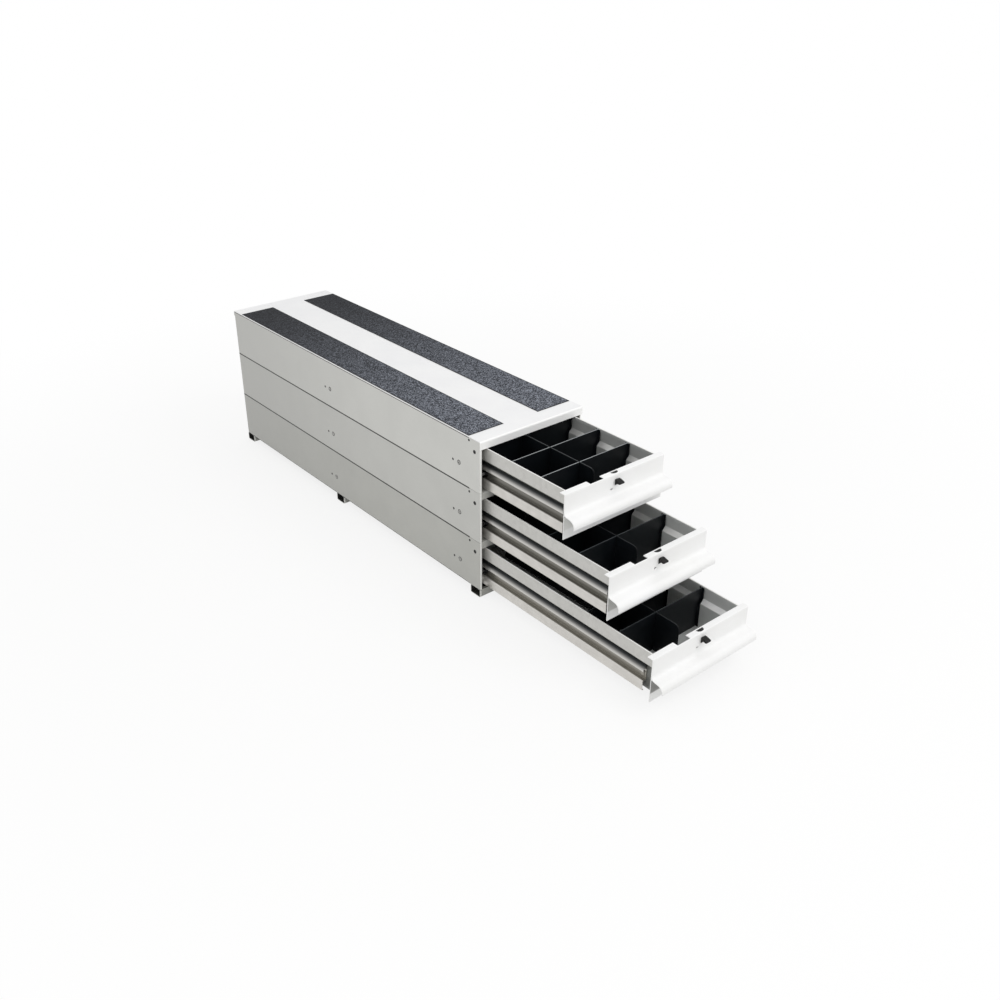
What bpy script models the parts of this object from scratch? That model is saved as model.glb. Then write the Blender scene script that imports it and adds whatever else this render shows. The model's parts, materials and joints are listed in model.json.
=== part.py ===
"""Van drawer cabinet: three stacked drawer modules on three base channels.

Frame: +X to the right seen from the front, drawers pull out toward -Y, +Z up.
The origin is on the floor, under the middle of the whole box with the drawers
drawn out as they stand at rest. All lengths are metres.

A module's pieces are drawn in its own frame: x from the middle, y back from
the cabinet's front plane, z down from the module's top plane, so a depth below
that plane is called a drop. A drawer's pieces use the same frame, with y
counted back from the drawer's own face.
"""
import math

import bpy
import bmesh
from mathutils import Vector

# Cabinet
cabinet_depth = 1.2190
cabinet_width = 0.3334
module_pitch = 0.1392
module_seam = 0.0009
touch_gap = 0.0003
overrun = 0.0100

# Side panels
panel_sheet = 0.0015
panel_front_bend = 0.0050
panel_front_flange = 0.0060
panel_rear_bend = 0.0030
panel_rear_flange = 0.0200
small_hole_radius = 0.0020
small_hole_inset = 0.0410
small_hole_drop = 0.0090
large_hole_radius = 0.0040
large_hole_inset = 0.0200
large_hole_drop = 0.0330

# Top panel and its grit strips
top_sheet = 0.0020
top_bend = 0.0040
front_lip = 0.0210
rear_lip = 0.0150
lip_corner_cut = 0.0011
strip_thickness = 0.0012
strip_width = 0.1081
strip_outer_margin = 0.0024
strip_front_margin = 0.0447
strip_rear_margin = 0.0477
strip_corner = 0.0040

# Front cross rails
rail_sheet = 0.0010
rail_bend = 0.0025
rail_depth = 0.0240
rail_ear_reach = 0.0520
rail_ear_drop = 0.0430

# Back panel
back_sheet = 0.0012
back_bend = 0.0025
back_fold = 0.0120

# Base channels
base_height = 0.0220
base_width = 0.0380
base_sheet = 0.0020
base_bend = 0.0030
base_return = 0.0090
middle_base_inset = 0.6370
bolt_slot_length = 0.0240
bolt_slot_width = 0.0100
bolt_slot_side_margin = 0.0467

# Drawer trays
drawer_openings = (0.2870, 0.4360, 0.5770)
closed_proud = 0.0002
drawer_side_space = 0.0207
drawer_top_clearance = 0.0015
tray_sheet = 0.0012
tray_rear_clearance = 0.0290
tray_hem_depth = 0.0085
tray_hem_width = 0.0040
tray_hem_bend = 0.0017
tray_band_height = 0.0345
tray_step_in = 0.0123
tray_step_height = 0.0095
tray_floor_drop = 0.1325
tray_bend = 0.0022

# Drawer fronts
front_side_margin = 0.0067
front_sheet = 0.0018
front_flange_depth = 0.0160
front_top_bend = 0.0030
front_tip_drop = 0.1370
pull_start_drop = 0.0750
pull_shoulder_drop = 0.0800
pull_end_drop = 0.0990
pull_reach = 0.0340
pull_root_bend = 0.0100
pull_shoulder_bend = 0.0170
pull_sheet = 0.0020
flange_notch_outer = 0.0800
flange_notch_inner = 0.0380

# Latch slide, its hole and its slot
latch_x = 0.0030
bolt_half_width = 0.0110
bolt_front = 0.0036
bolt_depth = 0.0095
bolt_round_power = 0.75
bolt_sink = 0.0010
bolt_length = 0.0230
bolt_clearance = 0.0005
latch_travel = 0.0050
neck_half_width = 0.0030
neck_height = 0.0030
neck_drop = 0.0445
knob_drop = 0.0430
knob_half_width = 0.0072
knob_height = 0.0150
knob_length = 0.0170
knob_lift = 0.0010
knob_shelf_share = 0.30
knob_tip_drop = 0.0036
knob_tip_height = 0.0035
thumb_radius = 0.0070
thumb_depth = 0.0070
tick_hole_length = 0.0080
tick_hole_width = 0.0040
tick_hole_left = 0.0122
tick_hole_drop = 0.0585

# Drawer runners, roll-formed
runner_sheet = 0.0015
runner_top_drop = 0.0690
runner_underside_drop = 0.0850
runner_ledge_drop = 0.1075
runner_foot_drop = 0.1345
runner_inner_bend = 0.0006
runner_nose_bend = 0.0092
runner_seat_bend = 0.0010
runner_band_bend = 0.0022
runner_return_gap = 0.0030
runner_curl_width = 0.0050
runner_starts = (0.0180, 0.0180, 0.0360)
runner_end_margin = 0.0040
button_radius = 0.0050
button_proud = 0.0022
button_inset = 0.0100

# Rollers and their studs
roller_bore = 0.0033
roller_width = 0.0055
front_roller_radius = 0.0095
rear_roller_radius = 0.0085
roller_edge = 0.0004
roller_shield_depth = 0.0004
roller_race = 0.0018
roller_steps = 16
stud_radius = 0.0045
pin_radius = 0.0030
stud_head_radius = 0.0042
stud_head = 0.0008
stud_steps = 12
front_roller_inset = 0.0122
front_roller_side_gap = 0.0023
rear_roller_end_margin = 0.0140
rear_roller_side_space = 0.0103

# Cabinet runners
track_sheet = 0.0015
track_bend = 0.0020
track_depth = 0.0130
track_headroom = 0.0009
track_start = 0.0240
track_rear_margin = 0.0190
track_tongue_front = 0.0042
track_stop_inset = 0.1000
track_stop_length = 0.0020
track_stop_reach = 0.0085

# Dividers
divider_sheet = 0.0025
divider_top_drop = 0.0250
divider_wall_gap = 0.0004
divider_end_flange = 0.0140
divider_end_sheet = 0.0018
divider_lap_gap = 0.0003
long_divider_left = 0.0200
long_divider_start = 0.0500
long_divider_length = 0.6000
long_divider_corner = 0.0120
first_cross_reaches = (0.1000, 0.1170, 0.1210)
cross_counts = (3, 2, 2)
cross_pitch = 0.1010

# Steps and angles of the bends
bend_steps = 3
pull_steps = 8
straight_half_angle = math.radians(89.9)
sharp_edge_angle = math.radians(35)

# Worked out from the sizes above
module_count = len(drawer_openings)
half_width = cabinet_width / 2
lip_front = -(touch_gap + top_sheet)
lip_rear = cabinet_depth + touch_gap + top_sheet
furthest_front = -(max(drawer_openings) + pull_reach)
front_y = -(furthest_front + lip_rear) / 2
body_height = module_pitch * module_count
panel_inner = half_width - panel_sheet
drawer_half_width = half_width - drawer_side_space
front_half_width = half_width - front_side_margin
bolt_slot_reach = half_width - bolt_slot_side_margin
tray_length = cabinet_depth - tray_rear_clearance
drawer_top_drop = front_lip + drawer_top_clearance
band_end_drop = drawer_top_drop + tray_band_height
step_end_drop = band_end_drop + tray_step_height
tray_wall = drawer_half_width - tray_step_in
tray_start = front_sheet + touch_gap
runner_face = tray_wall + touch_gap + runner_sheet
channel_middle_drop = (runner_underside_drop + runner_ledge_drop) / 2
front_roller_outer = drawer_half_width - front_roller_side_gap
front_roller_x = front_roller_outer - roller_width / 2
front_roller_drop = runner_underside_drop + touch_gap + front_roller_radius
rear_roller_face = half_width - rear_roller_side_space
rear_roller_x = rear_roller_face + roller_width / 2
rear_roller_reach = tray_length - rear_roller_end_margin
track_outer = panel_inner - touch_gap
track_end = cabinet_depth - track_rear_margin
track_low_drop = channel_middle_drop + rear_roller_radius + touch_gap
track_high_drop = channel_middle_drop - rear_roller_radius - track_headroom
floor_top_drop = tray_floor_drop - tray_sheet
long_divider_x = -long_divider_left


def left_normal(start, end):
    """Unit normal on the left of the way from start to end."""
    along = (Vector(end) - Vector(start)).normalized()
    return Vector((-along.y, along.x))


def filleted(points, radii, steps=bend_steps):
    """The polyline through points, each inner corner rounded by its radius."""
    path = [Vector(points[0])]
    for index, radius in enumerate(radii, start=1):
        corner = Vector(points[index])
        back = (Vector(points[index - 1]) - corner).normalized()
        ahead = (Vector(points[index + 1]) - corner).normalized()
        half_angle = back.angle(ahead) / 2
        if radius == 0 or half_angle > straight_half_angle:
            path.append(corner)
            continue
        reach = radius / math.tan(half_angle)
        centre = corner + (back + ahead).normalized() * (radius / math.sin(half_angle))
        first = corner + back * reach - centre
        turn = first.angle_signed(corner + ahead * reach - centre)
        for step in range(steps + 1):
            angle = -turn * step / steps
            cosine, sine = math.cos(angle), math.sin(angle)
            spoke = Vector((first.x * cosine - first.y * sine, first.x * sine + first.y * cosine))
            path.append(centre + spoke)
    path.append(Vector(points[-1]))
    return path


def parallel_path(points, radii, distance, steps=bend_steps):
    """The rounded path through points, moved to its left by distance."""
    moved, moved_radii = [], [0]
    last = len(points) - 1
    for index, point in enumerate(points):
        before = left_normal(points[max(index - 1, 0)], points[max(index, 1)])
        after = left_normal(points[min(index, last - 1)], points[min(index + 1, last)])
        middle = (before + after).normalized()
        moved.append(Vector(point) + middle * (distance / middle.dot(before)))
        if 0 < index < last and radii[index - 1] > 0:
            to_left = before.x * after.y - before.y * after.x > 0
            moved_radii.append(max(radii[index - 1] + (-distance if to_left else distance), 0))
        elif 0 < index < last:
            moved_radii.append(0)
    return filleted(moved, moved_radii[1:], steps)


def sheet_outline(points, radii, sheet, steps=bend_steps):
    """Closed outline of a bent sheet whose one face follows the points."""
    return filleted(points, radii, steps) + parallel_path(points, radii, sheet, steps)[::-1]


def mirrored(points):
    """The points with their first coordinate turned round, in reverse order."""
    return [Vector((-point.x, point.y)) for point in reversed(points)]


def to_side(points, side):
    """The points for the right (+1) or the left (-1) of the cabinet."""
    return [Vector((side * point.x, point.y)) for point in points]


def prism(outline, axis, start, end):
    """Mesh of a closed outline carried straight along axis from start to end.

    The outline's two coordinates are the other two axes in X, Y, Z order.
    """
    places = {
        "X": lambda point: (start, point[0], point[1]),
        "Y": lambda point: (point[0], start, point[1]),
        "Z": lambda point: (point[0], point[1], start),
    }
    directions = {"X": Vector((1, 0, 0)), "Y": Vector((0, 1, 0)), "Z": Vector((0, 0, 1))}
    shape = bmesh.new()
    cap = shape.faces.new([shape.verts.new(places[axis](point)) for point in outline])
    grown = bmesh.ops.extrude_face_region(shape, geom=[cap], use_keep_orig=True)
    moved = [item for item in grown["geom"] if isinstance(item, bmesh.types.BMVert)]
    bmesh.ops.translate(shape, verts=moved, vec=directions[axis] * (end - start))
    return finished(shape)


def box(low, high):
    """Mesh of a box between two corners."""
    outline = [(low[0], low[1]), (high[0], low[1]), (high[0], high[1]), (low[0], high[1])]
    return prism(outline, "Z", low[2], high[2])


def round_bar(radius, axis, start, end, middle, steps=stud_steps):
    """Mesh of a round bar along axis about the point middle of the other two."""
    turns = [math.tau * (step + 0.5) / steps for step in range(steps)]
    outline = [(middle[0] + radius * math.cos(turn), middle[1] + radius * math.sin(turn)) for turn in turns]
    return prism(outline, axis, start, end)


def turned_ring(profile, steps):
    """Mesh of a closed profile of (radius, x) points turned about the X axis."""
    shape = bmesh.new()
    rings = []
    for step in range(steps):
        turn = math.tau * step / steps
        rings.append([shape.verts.new((along, radius * math.cos(turn), radius * math.sin(turn)))
                      for radius, along in profile])
    for ring, following in zip(rings, rings[1:] + rings[:1]):
        for index in range(len(profile)):
            after = (index + 1) % len(profile)
            shape.faces.new((ring[index], ring[after], following[after], following[index]))
    return finished(shape)


def finished(shape):
    """The bmesh as a mesh with its faces turned outward."""
    bmesh.ops.recalc_face_normals(shape, faces=shape.faces)
    mesh = bpy.data.meshes.new("shape")
    shape.to_mesh(mesh)
    shape.free()
    return mesh


def combined(mesh, others, operation):
    """The mesh joined with, or cut by, each of the other meshes in turn."""
    body = bpy.data.objects.new("body", mesh)
    bpy.context.collection.objects.link(body)
    tools = []
    for other in others:
        tool = bpy.data.objects.new("tool", other)
        tool.hide_render = True
        tool.display_type = "WIRE"
        bpy.context.collection.objects.link(tool)
        tools.append(tool)
        boolean = body.modifiers.new("boolean", "BOOLEAN")
        boolean.operation = operation
        boolean.solver = "EXACT"
        boolean.object = tool
    seen = body.evaluated_get(bpy.context.evaluated_depsgraph_get())
    result = bpy.data.meshes.new_from_object(seen)
    for leftover in [body] + tools:
        bpy.data.objects.remove(leftover)
    return result


def united(mesh, others):
    return combined(mesh, others, "UNION")


def cut(mesh, others):
    return combined(mesh, others, "DIFFERENCE")


def material(name, colour, roughness, metallic):
    """A Principled material of one colour."""
    made = bpy.data.materials.new(name)
    made.use_nodes = True
    surface = made.node_tree.nodes["Principled BSDF"]
    surface.inputs["Base Color"].default_value = (*colour, 1)
    surface.inputs["Roughness"].default_value = roughness
    surface.inputs["Metallic"].default_value = metallic
    return made


finishes = {
    "grey_panel": ((0.50, 0.50, 0.46), 0.45, 0.0),
    "white_top": ((0.86, 0.86, 0.84), 0.40, 0.0),
    "grit": ((0.065, 0.073, 0.085), 0.95, 0.0),
    "grey_rail": ((0.55, 0.55, 0.52), 0.45, 0.0),
    "zinc": ((0.62, 0.62, 0.60), 0.35, 1.0),
    "bright_steel": ((0.74, 0.73, 0.71), 0.32, 1.0),
    "tray_zinc": ((0.52, 0.53, 0.52), 0.38, 0.9),
    "white_front": ((0.90, 0.90, 0.89), 0.35, 0.0),
    "black_roller": ((0.015, 0.016, 0.017), 0.40, 0.0),
    "black_latch": ((0.020, 0.021, 0.022), 0.45, 0.0),
    "black_divider": ((0.012, 0.014, 0.015), 0.50, 0.0),
}


def piece(name, mesh, finish, parent, place=(0, 0, 0)):
    """Put a mesh into the scene as one named piece with its own material."""
    mesh.name = name
    mesh.materials.clear()
    mesh.materials.append(material(name + "_finish", *finishes[finish]))
    mesh.shade_smooth()
    mesh.set_sharp_from_angle(angle=sharp_edge_angle)
    made = bpy.data.objects.new(name, mesh)
    made.parent = parent
    made.location = place
    bpy.context.collection.objects.link(made)
    return made


def axis_point(name, place, parent=None):
    """An empty that carries the pieces which stand or move together."""
    made = bpy.data.objects.new(name, None)
    made.location = place
    made.parent = parent
    bpy.context.collection.objects.link(made)
    return made


# Cabinet

def side_panel(side, top_margin):
    """Bent sheet with a rounded front edge and a turned front and rear flange."""
    points = [(half_width - panel_front_flange, 0), (half_width, 0),
              (half_width, cabinet_depth), (half_width - panel_rear_flange, cabinet_depth)]
    outline = sheet_outline(points, (panel_front_bend, panel_rear_bend), panel_sheet)
    low = -module_pitch + module_seam / 2
    panel = prism(to_side(outline, side), "Z", low, -top_margin)
    start = side * (panel_inner - overrun)
    end = side * (half_width + overrun)
    small = round_bar(small_hole_radius, "X", start, end, (small_hole_inset, -small_hole_drop), stud_steps)
    large = round_bar(large_hole_radius, "X", start, end, (large_hole_inset, -large_hole_drop), stud_steps)
    corners = []
    if top_margin > top_sheet:
        for edge, inward in ((0, 1), (cabinet_depth, -1)):
            wedge = [(edge - inward * overrun, -top_margin - lip_corner_cut), (edge, -top_margin - lip_corner_cut),
                     (edge + inward * lip_corner_cut, -top_margin), (edge + inward * lip_corner_cut, overrun),
                     (edge - inward * overrun, overrun)]
            corners.append(prism(wedge, "X", -half_width - overrun, half_width + overrun))
    return cut(panel, [small, large] + corners)


def top_panel():
    """Top sheet turned down over the front and the rear of the cabinet."""
    points = [(lip_rear, -rear_lip), (lip_rear, 0), (lip_front, 0), (lip_front, -front_lip)]
    outline = sheet_outline(points, (top_bend, top_bend), top_sheet)
    return prism(outline, "X", -half_width, half_width)


def grit_strip(side):
    """Long thin strip with rounded corners, stuck on the top sheet."""
    outer = half_width - strip_outer_margin
    inner = outer - strip_width
    front, rear = strip_front_margin, cabinet_depth - strip_rear_margin
    middle = (inner + outer) / 2
    corners = [(middle, front), (outer, front), (outer, rear), (inner, rear), (inner, front), (middle, front)]
    outline = filleted(corners, (strip_corner,) * 4)[:-1]
    return prism(to_side(outline, side), "Z", touch_gap, touch_gap + strip_thickness)


def cross_rail(top_margin):
    """Channel over a drawer, with end ears and the catch slot for the latch."""
    front = panel_sheet + touch_gap
    rear = front + rail_depth
    points = [(rear, -front_lip), (front, -front_lip), (front, -top_margin), (rear, -top_margin)]
    outline = sheet_outline(points, (rail_bend, rail_bend), -rail_sheet)
    end = panel_inner - touch_gap
    channel = prism(outline, "X", -end, end)
    ears, corners = [], []
    for side in (-1, 1):
        ear_face, ear_back = sorted((side * end, side * (end - rail_sheet)))
        ears.append(box((ear_face, front, -rail_ear_drop), (ear_back, rail_ear_reach, -top_margin - rail_bend)))
        inner, outer = sorted((side * (half_width - panel_front_bend), side * (end + overrun)))
        corners.append(box((inner, front - overrun, -rail_ear_drop - overrun),
                           (outer, panel_front_bend, overrun)))
    catch_half_width = bolt_half_width + 4 * bolt_clearance
    catch_front = bolt_front - closed_proud - bolt_clearance
    catch_rear = bolt_front + bolt_depth + 2 * bolt_clearance
    catch = box((latch_x - catch_half_width, catch_front, -front_lip - overrun),
                (latch_x + catch_half_width, catch_rear, -front_lip + 2 * rail_sheet))
    return cut(united(channel, ears), [catch] + corners)


def back_panel():
    """Back sheet inside the rear flanges, folded forward at top and bottom."""
    rear = cabinet_depth - panel_sheet - touch_gap
    low = -body_height + touch_gap
    high = -top_sheet - touch_gap
    points = [(rear - back_fold, low), (rear, low), (rear, high), (rear - back_fold, high)]
    outline = sheet_outline(points, (back_bend, back_bend), back_sheet)
    end = half_width - panel_rear_bend - touch_gap
    return prism(outline, "X", -end, end)


def base_channel(inset):
    """Channel across the cabinet, open at its ends, with two bolt slots."""
    front, rear = inset, inset + base_width
    low, high = -body_height - base_height, -body_height
    points = [(front + base_return, high), (front, high), (front, low),
              (rear, low), (rear, high), (rear - base_return, high)]
    outline = sheet_outline(points, (base_bend,) * 4, base_sheet)
    channel = prism(outline, "X", -half_width, half_width)
    slots = []
    middle = inset + base_width / 2
    for side in (-1, 1):
        centre = side * bolt_slot_reach
        slots.append(box((centre - bolt_slot_length / 2, middle - bolt_slot_width / 2, low - overrun),
                         (centre + bolt_slot_length / 2, middle + bolt_slot_width / 2, low + 2 * base_sheet)))
    return cut(channel, slots)


def cabinet_runner(side):
    """Track for a drawer's rear roller, with the front roller's stud and a stop."""
    open_edge = track_outer - track_depth
    high, low = -track_high_drop + track_sheet, -track_low_drop - track_sheet
    points = [(open_edge, high), (track_outer, high), (track_outer, low), (open_edge, low)]
    outline = sheet_outline(points, (track_bend, track_bend), -track_sheet)
    track = prism(to_side(outline, side), "Y", track_start, track_end)
    web = track_outer - track_sheet

    def slab(inner, outer, start, end, bottom, top):
        low_x, high_x = sorted((side * inner, side * outer))
        return box((low_x, start, bottom), (high_x, end, top))

    tongue = slab(web + touch_gap, track_outer - touch_gap, track_tongue_front, track_start + track_bend,
                  low + track_bend + touch_gap, high - track_bend - touch_gap)
    stop = slab(web - track_stop_reach, track_outer - track_sheet / 2, track_stop_inset,
                track_stop_inset + track_stop_length, low + track_sheet / 2, high - track_sheet / 2)
    place = (front_roller_inset, -front_roller_drop)
    shoulder_end = front_roller_outer + touch_gap
    pin_end = front_roller_outer - roller_width - touch_gap
    shoulder = round_bar(stud_radius, "X", side * (web + track_sheet / 2), side * shoulder_end, place)
    pin = round_bar(pin_radius, "X", side * (shoulder_end + touch_gap), side * (pin_end - stud_head / 2), place)
    head = round_bar(stud_head_radius, "X", side * pin_end, side * (pin_end - stud_head), place)
    return united(track, [tongue, stop, shoulder, pin, head])


# Rollers

def roller(radius):
    """Sealed bearing: outer race, sunk shields and a bore for its pin."""
    half = roller_width / 2
    sunk = half - roller_shield_depth
    race = radius - roller_race
    side_points = [(roller_bore, sunk), (race, sunk), (race, half),
                   (radius - roller_edge, half), (radius, half - roller_edge)]
    profile = side_points + [(far, -along) for far, along in reversed(side_points)]
    return turned_ring(profile, roller_steps)


# Drawers

def tray():
    """Folded tray: hemmed and stepped side walls, floor and rear wall."""
    hem = drawer_half_width - tray_hem_width
    left = [(-hem, -drawer_top_drop - tray_hem_depth), (-hem, -drawer_top_drop),
            (-drawer_half_width, -drawer_top_drop), (-drawer_half_width, -band_end_drop),
            (-tray_wall, -step_end_drop), (-tray_wall, -tray_floor_drop)]
    left = [Vector(point) for point in left]
    points = left + mirrored(left)
    radii = (tray_hem_bend, tray_hem_bend, tray_bend, tray_bend, tray_bend)
    radii = radii + radii[::-1]
    shell = prism(sheet_outline(points, radii, tray_sheet), "Y", tray_start, tray_length)
    wall_points = [Vector(point) for point in points[2:-2]]
    wall_points[0].y -= tray_sheet / 2
    wall_points[-1].y -= tray_sheet / 2
    middle = parallel_path(wall_points, radii[2:-2], tray_sheet / 2)
    rear_wall = prism(middle, "Y", tray_length - 2 * tray_sheet, tray_length - tray_sheet)
    under_flange = -drawer_top_drop - front_top_bend - touch_gap
    step = box((-half_width, tray_start - overrun, under_flange),
               (half_width, front_flange_depth + touch_gap, overrun))
    return cut(united(shell, [rear_wall]), [step])


def front_outline():
    """Section of the drawer front: top flange, face, ogee pull lip, lower plate."""
    top = -drawer_top_drop
    points = [(front_flange_depth, top), (0, top), (0, -pull_start_drop),
              (-pull_reach, -pull_shoulder_drop), (-pull_reach, -pull_end_drop)]
    face = filleted(points[:3], (front_top_bend,))[:-1]
    pull = filleted(points[1:], (pull_root_bend, pull_shoulder_bend), pull_steps)[1:]
    below = parallel_path(points[1:], (pull_root_bend, pull_shoulder_bend), pull_sheet, pull_steps)
    under = [point for point in below[::-1] if point.x < -front_sheet]
    back = [(0, under[-1].y - pull_sheet / 2), (0, -front_tip_drop), (front_sheet, -front_tip_drop),
            (front_sheet, top - front_top_bend), (front_top_bend, top - front_sheet),
            (front_flange_depth, top - front_sheet)]
    return face + pull + under + [Vector(point) for point in back]


def drawer_front():
    """Extruded drawer front, cut for the flange notch and the latch."""
    panel = prism(front_outline(), "X", -front_half_width, front_half_width)
    top = -drawer_top_drop
    notch = box((-flange_notch_outer, front_sheet, top - front_top_bend),
                (-flange_notch_inner, front_flange_depth + overrun, top + overrun))
    hole = prism(bolt_outline(bolt_clearance), "Z", top - 2 * front_sheet, top + overrun)
    slot_low = -neck_drop - bolt_clearance
    slot_high = -neck_drop + neck_height + latch_travel + bolt_clearance
    slot_half_width = neck_half_width + bolt_clearance
    slot = box((latch_x - slot_half_width, -overrun, slot_low), (latch_x + slot_half_width, bolt_front, slot_high))
    tick = box((-tick_hole_left - tick_hole_length / 2, -overrun, -tick_hole_drop - tick_hole_width / 2),
               (-tick_hole_left + tick_hole_length / 2, overrun, -tick_hole_drop + tick_hole_width / 2))
    return cut(panel, [notch, hole, slot, tick])


def bolt_outline(grow):
    """Plan of the latch bolt: a half-moon with its round side to the front."""
    reach = bolt_half_width + grow
    depth = bolt_depth + 2 * grow
    rear = bolt_front + bolt_depth + grow
    turns = [math.pi * step / (2 * bend_steps) for step in range(2 * bend_steps + 1)]
    return [(latch_x + reach * math.cos(turn), rear - depth * math.sin(turn) ** bolt_round_power) for turn in turns]


def latch_slide():
    """Knob, neck and bolt in one moulding, drawn at its own place on the front."""
    top = -drawer_top_drop - bolt_sink
    bolt = prism(bolt_outline(0), "Z", top - bolt_length, top)
    neck_top = -neck_drop + neck_height
    neck = box((latch_x - neck_half_width, -knob_lift - touch_gap, -neck_drop),
               (latch_x + neck_half_width, bolt_front + bolt_depth / 2, neck_top))
    top_drop, low_drop = knob_drop - knob_height / 2, knob_drop + knob_height / 2
    root, tip = -knob_lift, -knob_lift - knob_length
    side_view = [(root, -low_drop), (root, -top_drop), (root - knob_length * knob_shelf_share, -top_drop),
                 (tip, -top_drop - knob_tip_drop), (tip, -top_drop - knob_tip_drop - knob_tip_height)]
    hood = prism(side_view, "X", latch_x - knob_half_width, latch_x + knob_half_width)
    thumb = round_bar(thumb_radius, "X", latch_x - knob_half_width - overrun, latch_x + knob_half_width + overrun,
                      ((root + tip) / 2, -low_drop - thumb_radius + thumb_depth), 2 * stud_steps)
    knob = cut(hood, [thumb])
    return united(bolt, [neck, knob])


def runner_outline():
    """Section of the drawer runner: one strip bent into a round-nosed upper
    rail, a roller channel and a lower band with its foot curled in."""
    edge, nose = drawer_half_width, drawer_half_width - runner_sheet
    high = -runner_top_drop - runner_sheet
    seat = -runner_underside_drop + runner_sheet
    points = [(edge - runner_curl_width, -runner_foot_drop), (edge, -runner_foot_drop),
              (edge, -runner_ledge_drop), (runner_face, -runner_ledge_drop), (runner_face, high),
              (nose, high), (nose, seat), (runner_face + runner_return_gap, seat)]
    radii = (runner_band_bend, runner_band_bend, runner_inner_bend, runner_inner_bend,
             runner_nose_bend, runner_seat_bend)
    return sheet_outline(points, radii, runner_sheet)


def drawer_runner(side, start):
    """Roll-formed side rail of a drawer, with its front button and rear stud."""
    rail = prism(to_side(runner_outline(), side), "Y", start, tray_length - runner_end_margin)
    place = (rear_roller_reach, -channel_middle_drop)
    shoulder_end = rear_roller_face - touch_gap
    pin_end = rear_roller_face + roller_width + touch_gap
    web = runner_face - runner_sheet / 2
    button = round_bar(button_radius, "X", side * web, side * (runner_face + button_proud),
                       (start + button_inset, -channel_middle_drop))
    shoulder = round_bar(stud_radius, "X", side * web, side * shoulder_end, place)
    pin = round_bar(pin_radius, "X", side * (shoulder_end - touch_gap), side * (pin_end + stud_head / 2), place)
    head = round_bar(stud_head_radius, "X", side * pin_end, side * (pin_end + stud_head), place)
    return united(rail, [button, shoulder, pin, head])


def divider_side(inset):
    """Half outline of the tray's inside, drawn in by inset, top to bottom."""
    hem = drawer_half_width - tray_hem_width - inset
    wall = tray_wall - tray_sheet - inset
    slope = tray_step_in - tray_hem_width
    return [Vector((hem, -divider_top_drop)), Vector((hem, -band_end_drop + tray_sheet)),
            Vector((wall, -step_end_drop)), Vector((wall, -floor_top_drop + touch_gap))]


def cross_divider(reach):
    """Blade across the tray with folded ends and a slot for the long divider."""
    right = divider_side(divider_wall_gap)
    blade = prism(right + mirrored(right), "Y", reach - divider_sheet / 2, reach + divider_sheet / 2)
    ends = []
    for side in (-1, 1):
        outline = sheet_outline(right, (0, 0), -divider_end_sheet)
        ends.append(prism(to_side(outline, side), "Y", reach - divider_end_flange / 2,
                          reach + divider_end_flange / 2))
    slot_half_width = divider_sheet / 2 + divider_lap_gap
    middle = -(divider_top_drop + floor_top_drop) / 2
    slot = box((long_divider_x - slot_half_width, reach - divider_end_flange, middle),
               (long_divider_x + slot_half_width, reach + divider_end_flange, overrun))
    return cut(united(blade, ends), [slot])


def long_divider(reaches):
    """Blade along the tray, halved over each cross divider."""
    start, end = long_divider_start, long_divider_start + long_divider_length
    top, low = -divider_top_drop, -floor_top_drop + touch_gap
    middle_y = (start + end) / 2
    points = [(middle_y, top), (start, top), (start, low), (end, low), (end, top), (middle_y, top)]
    outline = filleted(points, (long_divider_corner, 0, 0, long_divider_corner))[:-1]
    blade = prism(outline, "X", long_divider_x - divider_sheet / 2, long_divider_x + divider_sheet / 2)
    slot_half_width = divider_sheet / 2 + divider_lap_gap
    middle = -(divider_top_drop + floor_top_drop) / 2
    slots = []
    for reach in reaches:
        slots.append(box((long_divider_x - divider_sheet, reach - slot_half_width, low - overrun),
                         (long_divider_x + divider_sheet, reach + slot_half_width, middle + touch_gap)))
    return cut(blade, slots)


def build_module(number, cabinet):
    """One module's side panels, cross rail, cabinet runners and front rollers."""
    module = axis_point("module_%d" % number, (0, 0, -module_pitch * (number - 1)), cabinet)
    top_margin = top_sheet + touch_gap if number == 1 else module_seam / 2
    piece("cross_rail_%d" % number, cross_rail(top_margin), "grey_rail", module)
    for side, word in ((-1, "left"), (1, "right")):
        piece("side_panel_%s_%d" % (word, number), side_panel(side, top_margin), "grey_panel", module)
        piece("cabinet_runner_%s_%d" % (word, number), cabinet_runner(side), "zinc", module)
        piece("front_roller_%s_%d" % (word, number), roller(front_roller_radius), "black_roller", module,
              (side * front_roller_x, front_roller_inset, -front_roller_drop))


def build_drawer(number, cabinet):
    """One drawer with its runners, rear rollers, latch and dividers."""
    opening = drawer_openings[number - 1]
    first = first_cross_reaches[number - 1]
    reaches = [first + cross_pitch * index for index in range(cross_counts[number - 1])]
    drawer = axis_point("drawer_%d" % number, (0, -opening, -module_pitch * (number - 1)), cabinet)
    piece("tray_%d" % number, tray(), "tray_zinc", drawer)
    piece("drawer_front_%d" % number, drawer_front(), "white_front", drawer)
    piece("latch_slide_%d" % number, latch_slide(), "black_latch", drawer)
    for side, word in ((-1, "left"), (1, "right")):
        start = runner_starts[number - 1]
        piece("drawer_runner_%s_%d" % (word, number), drawer_runner(side, start), "bright_steel", drawer)
        piece("rear_roller_%s_%d" % (word, number), roller(rear_roller_radius), "black_roller", drawer,
              (side * rear_roller_x, rear_roller_reach, -channel_middle_drop))
    piece("long_divider_%d" % number, long_divider(reaches), "black_divider", drawer)
    for index, reach in enumerate(reaches, start=1):
        piece("cross_divider_%d_%d" % (number, index), cross_divider(reach), "black_divider", drawer)


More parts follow.
